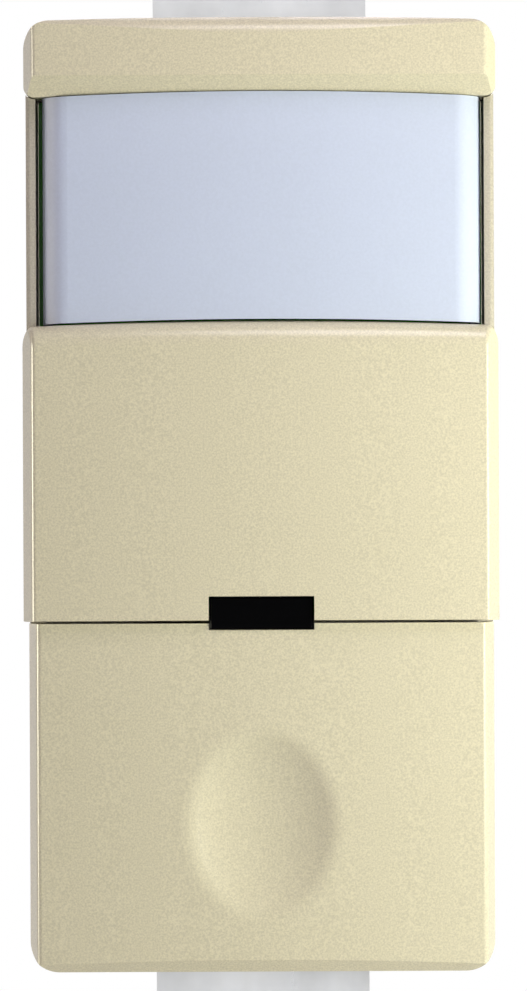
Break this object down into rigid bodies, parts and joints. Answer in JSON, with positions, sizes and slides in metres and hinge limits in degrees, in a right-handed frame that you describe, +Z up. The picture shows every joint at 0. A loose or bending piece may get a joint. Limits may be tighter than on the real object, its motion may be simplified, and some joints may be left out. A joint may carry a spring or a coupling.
{
  "type": "occupancy sensor",
  "caption": "Wall-box occupancy sensor in ivory plastic: milky crowned lens, lifting access cover over its dials, wide rocking push button with an oval thumb dimple, on a steel strap.",
  "frame": {"origin": "midway between the two box screws, on the rear face of the mounting strap, which is the wall plane", "axes": "+X to the right and +Z up as seen from the room; the front faces -Y and the body goes into the wall along +Y"},
  "size_m": [0.0332, 0.038, 0.1064],
  "materials": {
    "ivory_plastic": "fine moulded grain",
    "lens_plastic": "milky, faintly translucent",
    "smoked_plastic": "polished black",
    "zinc_steel": "bright zinc plate",
    "housing_plastic": "moulded, matte",
    "board_green": "solder mask over glass laminate",
    "insulator_grey": "calendered sheet",
    "can_metal": "nickel plate",
    "filter_dark": "coated window",
    "brass": "bright",
    "ground_green": "dyed green over steel",
    "steel_dark": "plain",
    "spring_steel": "drawn wire",
    "black_plastic": "moulded",
    "white_plastic": "moulded",
    "blue_plastic": "moulded",
    "led_clear": "clear",
    "relay_blue": "moulded",
    "winding_copper": "enamelled wire, taped",
    "film_yellow": "moulded box",
    "can_black": "shrink sleeve",
    "varistor_red": "dipped coating"
  },
  "bodies": {
    "device": {"mounting_strap": "zinc_steel", "ground_screw": "ground_green", "front_housing": "ivory_plastic", "top_cap": "ivory_plastic", "lens": "lens_plastic", "indicator_window": "smoked_plastic", "control_board": "board_green", "insulator_sheet": "insulator_grey", "sensor_board": "board_green", "sensor_base": "can_metal", "sensor_can": "can_metal", "sensor_filter": "filter_dark", "header_pins": "brass", "status_led": "led_clear", "photocell": "filter_dark", "return_spring": "spring_steel", "switch_body": "black_plastic", "trimmer_bodies": "blue_plastic", "mode_switch_body": "black_plastic", "rear_housing": "housing_plastic", "terminal_plates": "brass", "terminal_screws": "brass", "housing_screws": "steel_dark", "power_board": "board_green", "relay_base": "black_plastic", "relay_case": "relay_blue", "relay_coil": "winding_copper", "relay_core": "steel_dark", "relay_yoke": "steel_dark", "relay_contacts": "brass", "film_capacitor": "film_yellow", "electrolytic_capacitors": "can_black", "varistor": "varistor_red", "rectifier": "black_plastic"},
    "cover": {"access_cover": "ivory_plastic"},
    "button": {"push_button": "ivory_plastic"},
    "plunger": {"switch_plunger": "white_plastic"},
    "time_dial": {"time_dial": "white_plastic"},
    "range_dial": {"range_dial": "white_plastic"},
    "light_dial": {"light_dial": "white_plastic"},
    "mode_slider": {"mode_slider": "white_plastic"},
    "armature": {"relay_armature": "steel_dark"}
  },
  "joints": [
    {"name": "cover_hinge", "type": "hinge", "parent": "device", "child": "cover", "pos_m": [0, -0.0072, 0.01026], "axis": [-1, 0, 0], "range_deg": [0, 90]},
    {"name": "button_rock", "type": "hinge", "parent": "device", "child": "button", "pos_m": [0, -0.0053, -0.01046], "axis": [1, 0, 0], "range_deg": [0, 2.5], "stiffness_Nm_per_rad": 0.6, "deforming": ["return_spring"]},
    {"name": "plunger_travel", "type": "slide", "parent": "device", "child": "plunger", "axis": [0, 1, 0], "range_m": [0, 0.000586]},
    {"name": "time_dial_turn", "type": "hinge", "parent": "device", "child": "time_dial", "pos_m": [-0.00898, 0, 0.00356], "axis": [0, 1, 0], "range_deg": [-135, 135]},
    {"name": "range_dial_turn", "type": "hinge", "parent": "device", "child": "range_dial", "pos_m": [0, 0, 0.00356], "axis": [0, 1, 0], "range_deg": [-135, 135]},
    {"name": "light_dial_turn", "type": "hinge", "parent": "device", "child": "light_dial", "pos_m": [0.00898, 0, 0.00356], "axis": [0, 1, 0], "range_deg": [-135, 135]},
    {"name": "mode_slide", "type": "slide", "parent": "device", "child": "mode_slider", "axis": [1, 0, 0], "range_m": [-0.002, 0.002]},
    {"name": "armature_rock", "type": "hinge", "parent": "device", "child": "armature", "pos_m": [0, 0.00797, 0.02135], "axis": [1, 0, 0], "range_deg": [0, 3], "stiffness_Nm_per_rad": 0.02}
  ],
  "couplings": [
    {"joint": "plunger_travel", "follows": "button_rock", "m_per_rad": 0.01244}
  ]
}
